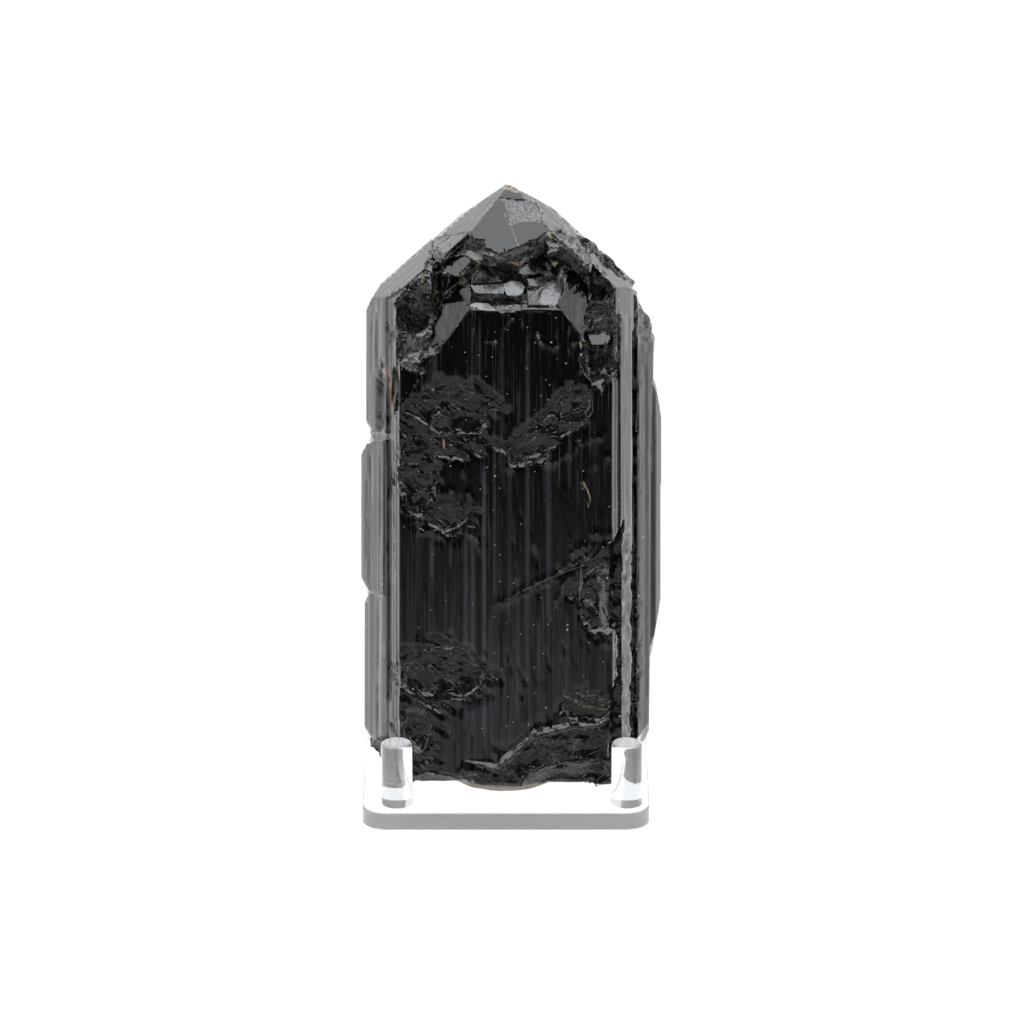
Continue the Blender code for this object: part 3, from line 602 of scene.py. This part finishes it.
# fillings and stains: line of points (x, z), half width, the kind of stuff and how much of it
SEAMS = {
    "tan_above_dark_face": ([(-9.6, 83.9), (-8, 84.7), (-6, 85.1)], 0.27, "tan", 0.55),
    "tan_band": ([(-5.9, 84.6), (-4.9, 83.7), (-4.2, 82.9)], 0.25, "tan", 0.8),
    "tan_patch": ([(-5.4, 86.1), (-4.6, 85.9)], 0.33, "tan", 1),
    "dark_face_foot": ([(-10.3, 81.7), (-8.9, 80.9), (-7.7, 80.9), (-5.7, 82.6)], 0.096, "tan", 0.7),
    "white_grains": ([(-4.9, 84.9), (-4, 84.9), (-3.6, 85.8)], 0.25, "pale", 1),
    "shoulder_rim": ([(-5.9, 80), (-8, 79.7), (-9.9, 78), (-10.9, 77.4), (-11.4, 75.9)],
                     0.18, "tan", 0.5),
    "rust_arc": ([(-13.8, 78.6), (-11.4, 78.2), (-10.8, 77), (-11.6, 75.8)], 0.21, "tan", 0.55),
    "left_white": ([(-13.8, 81), (-13.2, 80.6)], 0.3, "tan", 0.7),
    "left_white_low": ([(-12.6, 80.3), (-12.1, 79.9)], 0.21, "pale", 1),
    "strip_end": ([(-5.8, 79.6), (-5.3, 78.7), (-4.8, 78.1)], 0.12, "pale", 1),
    "under_strip": ([(-2.2, 76), (-1, 75.3), (0.6, 75.1), (2.2, 75.6)], 0.11, "tan", 1),
    "gap_line": ([(-4.6, 77.3), (-2.4, 77.2), (-1, 76.6)], 0.072, "pale", 1),
    "behind_line": ([(-3, 82.5), (-1.7, 81.2), (-0.9, 80.1)], 0.06, "pale", 1),
    "brow_line": ([(-0.3, 91), (0.8, 88.8), (2.1, 85.5)], 0.06, "pale", 1),
    "grey_end": ([(6.6, 83), (7, 82.2)], 0.36, "pale", 1),
    "upper_blob": ([(6.8, 84.7), (8.2, 84.9)], 0.27, "pale", 1),
    "right_tan": ([(7.4, 83), (8.4, 83.1)], 0.3, "tan", 1),
    "right_tan_top": ([(6.9, 87.9), (7.4, 86.8)], 0.21, "tan", 1),
    "middle_tan": ([(0.6, 83), (2.2, 82.6)], 0.24, "tan", 1),
    "silver_edge": ([(5.3, 79), (6, 79.1), (7.8, 80.4)], 0.12, "pale", 1),
    "tip_grains": ([(-0.2, 95.3), (0.8, 95), (1.9, 94.6)], 0.33, "tan", 1),
    "shoulder_gold": ([(11.9, 70.2), (12, 69.6)], 0.24, "tan", 1),
    "left_gold": ([(-10, 54.6), (-9.9, 53.4)], 0.18, "tan", 1),
    "rust": ([(-19.2, 66), (-18.6, 63), (-18.2, 60)], 0.8, "rust", 0.8),
    "vein": ([(-0.8, 28.5), (2.6, 30.4), (5.8, 31.9), (9.4, 33.4), (13, 34.8), (17.4, 38.6)],
             0.17, "tan", 0.35),
    "right_beige": ([(12.4, 47.8), (13.4, 45.8), (13.2, 43.6)], 0.21, "tan", 0.8),
    "low_beige": ([(9.2, 31.2), (8.4, 28.6), (7, 26.4), (8, 24.4), (7.4, 22.8)], 0.13, "tan", 0.5),
    "foot_gold": ([(9.4, 13.6), (12.4, 12), (16, 11.4)], 0.3, "tan", 0.55),
}


def filled(points, kind):
    """How far each point is covered by one kind of filling."""
    cover = np.zeros(len(points))
    ragged = 0.5 * grain(points, 0.7, 41)
    for line, width, stuff, amount in SEAMS.values():
        if stuff == kind:
            cover = np.maximum(cover, amount * along(points, line, width * (1.6 + ragged)))
    return cover * ahead(points, 9.0, 12.0)


# dark grooves down the side faces: x, half width, depth, lower and upper end
GROOVES = (
    (-20.8, 0.3, 0.3, 66, 76.2), (-21.6, 0.2, 0.16, 64, 76), (-18.75, 0.28, 0.32, 10, 66),
    (-19.5, 0.2, 0.16, 4, 52), (-18.2, 0.18, 0.16, 30, 76), (-21.9, 0.25, 0.18, 30, 54),
    (-20.6, 0.22, 0.2, 4, 30), (-22.4, 0.22, 0.18, 34, 50), (-20.2, 0.25, 0.22, 36, 53),
    (-20.2, 0.8, 1, 55, 67), (20.7, 0.3, 0.4, 6, 74), (21.3, 0.22, 0.25, 10, 70),
    (18.2, 0.16, 0.14, 40, 60), (19.2, 0.16, 0.16, 42, 70), (22.6, 0.3, 0.22, 12, 68),
    (23.6, 0.25, 0.18, 20, 64),
)


def groove(points):
    """Depth of the grooves down the side faces at each point."""
    wave = points[:, 0] + 0.12 * grain(points, (3.0, 3.0, 9.0), 81)
    ends = points[:, 2] + 3.0 * grain(points, 1.0, 82)
    ragged = 0.6 + 0.8 * np.abs(grain(points, (2.0, 2.0, 3.0), 83))
    depth = np.zeros(len(points))
    for x, width, deep, low, high in GROOVES:
        across = smooth_step(1.2 - np.abs(wave - x) / width, 0.0, 1.0)
        depth = np.maximum(depth, deep * ragged * across * window(ends, low, high, 3.0))
    return depth * ahead(points, 11.0, 14.0)


VEIN_CUT = 0.85              # share of the vein's rise that is taken off
SCAR_FILL = 0.65             # share of the depth of the front's scars that is filled
LOSS_DEPTH = 0.25            # how far the ground of a loss lies under its face
CLEAVED = (74.0, 90.0)       # heights between which the crown's flat faces have painted highlights along their edges
RIM = 0.17                   # half width of those painted edge highlights


def flatten(points):
    """Lay the vein and the scars on the middle of the front nearer to its plane."""
    x, y, z = points.T
    y *= 1.0 - VEIN_CUT * along(points, LEDGES["vein"][0], 2.6) * (y < 0.0)
    shallow = window(z, 9.0, 66.0, 4.0) * window(x, -16.6, 16.6, 1.8) * ahead(points, 3.5, 5.0)
    y *= 1.0 - SCAR_FILL * shallow


def weathered(bm):
    """Shape the surface, and return what the finish needs to know at each point."""
    points = np.array([vert.co for vert in bm.verts])
    normals = np.array([vert.normal for vert in bm.verts])
    flatten(points)
    lumps = back_lumps(points + 1.2 * grain(points, 1.6, 93)[:, None])
    broken = np.maximum(losses(points), np.maximum(chips(points), 0.8 * lumps))
    broken = np.maximum(broken, 0.85 * smooth_step(-normals[:, 2], 0.5, 0.8))
    pale = filled(points, "pale")
    glint = smooth_step(grain(points, 0.8, 55), 0.0, 0.35)
    rise, edge = ledges(points)
    dull = smooth_step(points[:, 0] + 0.8 * grain(points, (1.2, 2.0, 6.0), 51), 21.0, 22.4)
    for corners, _, _, _, rough, light in CLEAVAGES.values():
        held = inside(points, corners) & (points[:, 1] < CROWN_DEEP)
        broken[held] = rough
        edge[held] *= 0.2
        rise[held] = 0.0
        # the face's paleness: its own colour, partly painted highlight for the light it reflects
        pale[held] = np.maximum(pale[held], light)
        # painted highlight: pale lines along the edges of the crown's flat faces, gated by noise
        if CLEAVED[0] < corners[0][1] < CLEAVED[1]:
            rim = along(points, corners + corners[:1], RIM) * (points[:, 1] < CROWN_DEEP)
            pale = np.maximum(pale, 0.6 * rim * glint)
    front = ahead(points, 9.5, 12.0)
    upright = smooth_step(-np.abs(normals[:, 2]), -0.45, -0.2)
    lines = growth_lines(points) * upright * (1.0 - broken)
    step, step_edge = terraces(points, 20)
    upper = smooth_step(points[:, 2], 63.0, 68.0) * smooth_step(np.abs(points[:, 0]), 9.0, 12.0)
    deep = 0.3 + 0.5 * upper
    height = lines + broken * (deep * step - LOSS_DEPTH) + rise * front - groove(points)
    swell = 0.8 * grain(points, 3.4, 91) + 0.3 * grain(points, 1.2, 92)
    height += lumps * (0.3 + swell)
    slope = smooth_step(normals[:, 2], 0.35, 0.5) * smooth_step(np.abs(normals[:, 0]), 0.3, 0.5)
    for vert, place in zip(bm.verts, points + normals * height[:, None]):
        vert.co = place
    # crests of torn edges and steps, where painted highlights go, stronger on the upper shoulder
    crest = np.maximum(edge * front, step_edge * broken * (0.25 + 0.75 * upper))
    return {"broken": broken, "crest": crest, "pale": pale, "streak": streaks(points) * (1.0 - broken),
            "dull": dull, "slope": slope * (1.0 - broken), "upright": upright,
            "tan": filled(points, "tan"), "rust": filled(points, "rust")}


def add_object(name, bm, surface, node, sharp_angle):
    mesh = bpy.data.meshes.new(name)
    bm.to_mesh(mesh)
    bm.free()
    mesh.materials.append(surface)
    mesh.shade_smooth()
    mesh.set_sharp_from_angle(angle=math.radians(sharp_angle))
    made = bpy.data.objects.new(name, mesh)
    bpy.context.scene.collection.objects.link(made)
    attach(made, "root")
    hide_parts(node)
    return made


def add_crystal():
    bm = fine_crystal()
    cleave(bm)
    bmesh.ops.triangulate(bm, faces=bm.faces[:])
    bm.normal_update()
    finish = weathered(bm)
    bmesh.ops.transform(bm, matrix=CRYSTAL_PLACE, verts=bm.verts[:])
    crystal = add_object("tourmaline", bm, tourmaline(), "crystal", 28)
    for name, values in finish.items():
        crystal.data.attributes.new(name, "FLOAT", "POINT").data.foreach_set("value", values)


# --- materials -------------------------------------------------------------------------

def new_material(name):
    surface = bpy.data.materials.new(name)
    surface.use_nodes = True
    surface.node_tree.nodes.clear()
    return surface, Nodes(surface.node_tree)


def finished(surface, nodes, inputs, kind="ShaderNodeBsdfPrincipled"):
    """The material, with its shader joined to its output."""
    nodes.add("ShaderNodeOutputMaterial", {"Surface": nodes.add(kind, inputs).outputs[0]})
    return surface


def crystal_millimetres(nodes):
    """Object coordinates turned into the crystal's own millimetres."""
    inverse = CRYSTAL_PLACE.inverted()
    place = nodes.add("ShaderNodeTexCoord").outputs["Object"]
    return nodes.add("ShaderNodeMapping", {"Vector": place, "Location": inverse.translation,
                                           "Rotation": (LEAN, 0.0, 0.0),
                                           "Scale": (1 / MM,) * 3}).outputs[0]


BLACK = (0.0012, 0.0012, 0.0016, 1)
# painted sheen: pale film of the lower front, partly dust haze and partly standing in for reflected light
LOWER_DUST_AND_PAINTED_SHEEN = (0.0120, 0.0120, 0.0145, 1)
# pale growth lines: dust in the striations and painted sheen
STREAK_DUST_AND_SHEEN = (0.054, 0.054, 0.064, 1)
TORN_DARK = (0.0022, 0.0022, 0.0022, 1)
TORN_GREY = (0.024, 0.0235, 0.0225, 1)
# pale dust and painted highlight on torn edges
TORN_DUST_AND_HIGHLIGHT = (0.17, 0.16, 0.145, 1)
# pale filling, also used for painted highlights on the crown
PALE = (0.42, 0.43, 0.45, 1)
TAN = (0.36, 0.27, 0.185, 1)
RUST = (0.11, 0.055, 0.028, 1)
SPECK_GREY = (0.22, 0.205, 0.185, 1)
SPECK_GOLD = (0.42, 0.33, 0.22, 1)
LINE_DEPTH = 0.00013         # depths of the finest relief, in metres
GRAIN_DEPTH = 0.00012
SLIT_DEPTH = 0.0004
FACET_RISE, FACET_RUN = 0.643, 0.766   # sine and cosine of the slope of the point's facets


def attribute(nodes, name):
    return nodes.add("ShaderNodeAttribute", attribute_name=name).outputs["Fac"]


def specks(nodes, place, spacing, size, share):
    """Scattered round grains: spacing and size in mm, and the share of cells that hold one."""
    cells = nodes.add("ShaderNodeTexVoronoi", {"Vector": place, "Scale": 1.0 / spacing})
    pick = nodes.add("ShaderNodeSeparateColor", {0: cells.outputs["Color"]}).outputs[0]
    crowded = nodes.between(nodes.noise(place, 0.22, 3.0, 0.7), 0.38, 0.60, 0.25, 1.4)
    chosen = nodes.math("LESS_THAN", pick, nodes.times(crowded, share))
    return nodes.times(chosen, nodes.between(cells.outputs["Distance"], size / spacing,
                                                        0.6 * size / spacing))


def torn_lines(nodes, place, across, count, seed):
    """Fine torn lines: contours of a warped noise, so that they run side by side."""
    moved = nodes.vector("ADD", place, (seed, seed * 0.7, seed * 1.3))
    warp = nodes.add("ShaderNodeTexNoise", {"Vector": moved, "Scale": 0.15, "Detail": 2.0})
    bend = nodes.vector("SCALE", nodes.vector("SUBTRACT", warp.outputs["Color"], (0.5,) * 3), scale=6.0)
    parts = nodes.split(place)
    drop = nodes.times(nodes.math("ABSOLUTE", parts["X"]), -SWEEP)
    moved = nodes.vector("ADD", moved, nodes.add("ShaderNodeCombineXYZ", {"Z": drop}).outputs[0])
    bent = nodes.vector("MULTIPLY", nodes.vector("ADD", moved, bend), (1.0, 1.0, 2.4))
    height = nodes.noise(bent, across, 3.0, 0.5)
    return nodes.math("PINGPONG", nodes.times(height, count), 0.5)


def facet_slits(nodes, place):
    """Lines and slits that run down the slopes of the point's left and right facets."""
    parts = nodes.split(place)
    height, side = parts["Z"], nodes.math("ABSOLUTE", parts["X"])
    up = nodes.math("SUBTRACT", nodes.times(height, FACET_RISE), nodes.times(side, FACET_RUN))
    across = nodes.math("ADD", nodes.times(height, FACET_RUN), nodes.times(side, FACET_RISE))
    run = nodes.add("ShaderNodeCombineXYZ", {"X": nodes.times(up, 0.05), "Y": across,
                                             "Z": nodes.times(side, 0.04)}).outputs[0]
    slits = nodes.between(nodes.noise(run, 1.3, 4.0, 0.65), 0.60, 0.72)
    slits = nodes.times(slits, nodes.between(nodes.noise(place, 0.45, 2.0), 0.48, 0.6))
    return nodes.math("ADD", slits, nodes.times(nodes.noise(run, 2.6, 3.0, 0.6), 0.16))


def torn_colour(nodes, place, colour, torn, wisps, grit):
    """Colour of the losses laid over the whole faces: dark ground, dust, and pale torn edges that are
    partly painted highlight, stronger high up.
    """
    broken, crest = attribute(nodes, "broken"), attribute(nodes, "crest")
    height = nodes.split(place)["Z"]
    fine_grit = nodes.noise(place, 6.5, 3.0, 0.7)
    # painted highlight: dust and torn edges grow pale up the shoulder and crown, standing in for the light
    # their slopes would reflect
    upper_painted_highlight = nodes.between(height, 62.0, 72.0, 1.0, 3.6)
    shoulder_painted_highlight = nodes.between(height, 63.0, 72.0)
    colour = nodes.mix(broken, colour, TORN_DARK)
    dust = nodes.times(broken, nodes.between(fine_grit, 0.42, 0.66, 0.1, 1.3))
    patches = nodes.between(nodes.noise(place, 0.6, 4.0, 0.6), 0.42, 0.60, 0.05, 1.0)
    dust = nodes.times(dust, patches)
    colour = nodes.mix(nodes.times(dust, upper_painted_highlight, clamp=True), colour, TORN_GREY)
    # painted highlight: pale dust patches on the shoulder
    bright = nodes.times(dust, nodes.times(shoulder_painted_highlight, 0.7), clamp=True)
    colour = nodes.mix(bright, colour, TORN_DUST_AND_HIGHLIGHT)
    # painted highlight: torn wisps and crinkles painted pale as glints
    wisps = nodes.times(wisps, nodes.between(grit, 0.36, 0.60, 0.15, 0.6))
    crinkles = nodes.times(nodes.between(torn, 0.20, 0.44), nodes.between(grit, 0.42, 0.56))
    wisps = nodes.math("MAXIMUM", wisps, nodes.times(crinkles, shoulder_painted_highlight))
    colour = nodes.mix(nodes.times(broken, wisps), colour, TORN_DUST_AND_HIGHLIGHT)
    # painted highlight: pale lines along the crests
    ledge = nodes.times(nodes.between(crest, 0.25, 0.9), nodes.between(grit, 0.42, 0.66))
    ledge = nodes.times(ledge, upper_painted_highlight, clamp=True)
    return nodes.mix(ledge, colour, TORN_DUST_AND_HIGHLIGHT)


def tourmaline():
    surface, nodes = new_material("tourmaline")
    place = crystal_millimetres(nodes)
    broken = attribute(nodes, "broken")
    whole = nodes.math("SUBTRACT", attribute(nodes, "upright"), broken, clamp=True)
    grit = nodes.noise(place, 2.6, 6.0, 0.72)

    stretched = nodes.add("ShaderNodeMapping", {"Vector": place, "Scale": (1.0, 1.0, 0.02)}).outputs[0]
    lines = nodes.noise(stretched, 2.6)
    hair = nodes.between(nodes.noise(stretched, 4.5, 2.0), 0.60, 0.66)
    torn = torn_lines(nodes, place, 0.26, 7.0, 3.0)
    strong = nodes.between(nodes.noise(place, 0.42, 3.0, 0.6), 0.40, 0.60)
    wisps = nodes.times(nodes.between(torn, 0.40, 0.5), strong)
    relief = nodes.math("ADD", wisps, nodes.noise(place, 1.8, 2.0))
    normal = nodes.add("ShaderNodeNewGeometry").outputs["Normal"]
    lined = nodes.add("ShaderNodeBump", {"Height": lines, "Distance": LINE_DEPTH, "Normal": normal,
                                         "Strength": nodes.times(whole, 0.5)})
    grained = nodes.add("ShaderNodeBump", {"Height": relief, "Distance": GRAIN_DEPTH,
                                           "Normal": lined.outputs[0],
                                           "Strength": nodes.times(broken, 0.4)})
    slit = nodes.add("ShaderNodeBump", {"Height": facet_slits(nodes, place), "Distance": SLIT_DEPTH,
                                        "Normal": grained.outputs[0],
                                        "Strength": attribute(nodes, "slope")}, invert=True)

    height = nodes.split(place)["Z"]
    # painted sheen: the front grows pale towards its lower part, in bars along the growth lines, mixing
    # dust haze with painted reflected light
    low = nodes.between(nodes.math("ADD", height, nodes.times(lines, 22.0)), 60.0, 10.0)
    bars = nodes.noise(stretched, 1.5, 2.0)
    low = nodes.times(low, nodes.between(bars, 0.40, 0.62, 0.0, 1.7))
    colour = nodes.mix(low, BLACK, LOWER_DUST_AND_PAINTED_SHEEN)
    # growth lines and fine hairlines painted pale: dust in the striations and painted sheen
    streak = nodes.times(attribute(nodes, "streak"), nodes.between(grit, 0.25, 0.6))
    colour = nodes.mix(streak, colour, STREAK_DUST_AND_SHEEN)
    colour = nodes.mix(nodes.times(hair, nodes.times(whole, 0.5)), colour, STREAK_DUST_AND_SHEEN)
    colour = torn_colour(nodes, place, colour, torn, wisps, grit)
    # the pale attribute holds pale filling and painted highlights on the crown
    for name, tint in (("pale", PALE), ("tan", TAN), ("rust", RUST)):
        cover = nodes.math("ADD", attribute(nodes, name), nodes.times(grit, 1.6))
        patchy = nodes.times(attribute(nodes, name), nodes.between(cover, 1.0, 1.5))
        colour = nodes.mix(patchy, colour, tint)
    colour = nodes.mix(specks(nodes, place, 1.1, 0.15, 0.36), colour, SPECK_GREY)
    colour = nodes.mix(specks(nodes, place, 3.0, 0.22, 0.4), colour, SPECK_GOLD)

    roughness = nodes.math("ADD", 0.10, nodes.times(broken, 0.05))
    roughness = nodes.math("ADD", roughness, nodes.times(attribute(nodes, "dull"), 0.35))
    return finished(surface, nodes, {"Base Color": colour, "Roughness": roughness, "IOR": 1.64,
                                     "Normal": slit.outputs[0]})


def clear_acrylic():
    surface, nodes = new_material("clear_acrylic")
    place = nodes.add("ShaderNodeTexCoord").outputs["Object"]
    haze = nodes.between(nodes.noise(place, 180.0, 4.0, 0.6), 0.35, 0.75, 0.04, 0.10)
    return finished(surface, nodes, {"Base Color": (0.93, 0.94, 0.95, 1), "Roughness": haze,
                                     "IOR": 1.49, "Transmission Weight": 0.85})


def putty():
    surface, nodes = new_material("putty")
    place = nodes.add("ShaderNodeTexCoord").outputs["Object"]
    patches = nodes.noise(place, 420.0, 5.0, 0.6)
    colour = nodes.mix(nodes.between(patches, 0.35, 0.65), (0.40, 0.35, 0.29, 1), (0.58, 0.53, 0.46, 1))
    dents = nodes.add("ShaderNodeBump", {"Height": nodes.noise(place, 900.0, 4.0, 0.6),
                                         "Distance": 0.0002, "Strength": 0.6})
    return finished(surface, nodes, {"Base Color": colour, "Roughness": 0.75,
                                     "Normal": dents.outputs[0]})


# --- stand -----------------------------------------------------------------------------

def turned(profile, segments):
    """Closed solid turned about z from (radius, height) points between its two poles."""
    bm = bmesh.new()
    points = [bm.verts.new((radius, 0.0, height)) for radius, height in profile]
    rim = [bm.edges.new(pair) for pair in zip(points, points[1:])]
    bmesh.ops.spin(bm, geom=points + rim, axis=(0, 0, 1), cent=(0, 0, 0), steps=segments,
                   angle=2 * math.pi, use_merge=True)
    bmesh.ops.remove_doubles(bm, verts=bm.verts[:], dist=1e-4)
    bmesh.ops.recalc_face_normals(bm, faces=bm.faces[:])
    return bm


def settle(bm, node):
    """Bring a shape made in millimetres, on its own axis, to where its node stands."""
    low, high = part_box(node)
    bmesh.ops.scale(bm, vec=(MM,) * 3, verts=bm.verts[:])
    bmesh.ops.translate(bm, vec=((low.x + high.x) / 2, (low.y + high.y) / 2, low.z), verts=bm.verts[:])


def size_of(node):
    low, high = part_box(node)
    return (high - low) / MM


def rounded(radius, height, edge, steps):
    """Profile of a rounded upper edge, from the top down."""
    return [(radius - edge + edge * math.sin(turn), height - edge + edge * math.cos(turn))
            for turn in (math.radians(90.0 * step / steps) for step in range(steps + 1))]


def add_peg(node, surface):
    radius, height = size_of(node).x / 2, size_of(node).z
    edge = 0.55
    rim = rounded(radius, height, edge, 10)
    hem = 0.03                   # narrow rings that keep the flats flat
    bm = turned([(0.0, height), (radius - edge - hem, height), *rim, (radius, height - edge - hem),
                 (radius, hem), (radius, 0.0), (radius - hem, 0.0), (0.0, 0.0)], 96)
    settle(bm, node)
    add_object(node.replace("peg", "rod"), bm, surface, node, 40)


def add_plate(surface):
    size = size_of("stand_base")
    bm = bmesh.new()
    bmesh.ops.create_cube(bm, size=1.0)
    bmesh.ops.scale(bm, vec=size, verts=bm.verts[:])
    upright = [edge for edge in bm.edges
               if abs(edge.verts[0].co.z - edge.verts[1].co.z) > size.z / 2]
    bmesh.ops.bevel(bm, geom=upright, offset=4.0, segments=12, affect="EDGES", profile=0.5,
                    material=-1)
    rims = [edge for edge in bm.edges if edge.is_manifold and edge.calc_face_angle() > 1.2]
    bmesh.ops.bevel(bm, geom=rims, offset=0.4, segments=4, affect="EDGES", profile=0.5,
                    material=-1)
    for high in (size.z / 2 - 0.43, 0.43 - size.z / 2):
        bmesh.ops.bisect_plane(bm, geom=bm.verts[:] + bm.edges[:] + bm.faces[:], dist=1e-4,
                               plane_co=(0.0, 0.0, high), plane_no=(0.0, 0.0, 1.0))
    flats = [face for face in bm.faces if face.calc_area() > 60.0]
    bmesh.ops.inset_individual(bm, faces=flats, thickness=0.03, use_even_offset=True)
    bmesh.ops.translate(bm, vec=(0.0, 0.0, size.z / 2), verts=bm.verts[:])
    settle(bm, "stand_base")
    add_object("plate", bm, surface, "stand_base", 40)


def add_pad():
    radius, height = size_of("putty_pad").x / 2, size_of("putty_pad").z
    rings = [(radius * part / 24, height) for part in range(23)]
    bm = turned([*rings, *rounded(radius, height, 0.5, 8), (radius - 0.2, 0.0), (0.0, 0.0)], 120)
    for vert in bm.verts:
        bulge = noise.noise(vert.co * 0.42) * 0.25 + noise.noise(vert.co * 1.3) * 0.08
        vert.co += Vector((vert.co.x, vert.co.y, 0.0)).normalized() * bulge
    settle(bm, "putty_pad")
    add_object("putty", bm, putty(), "putty_pad", 60)


add_camera()
add_world()
add_floor()
add_crystal()
acrylic = clear_acrylic()
add_plate(acrylic)
for peg in ("peg_front_left", "peg_front_right", "peg_back"):
    add_peg(peg, acrylic)
add_pad()

bpy.context.scene.view_settings.view_transform = "Standard"
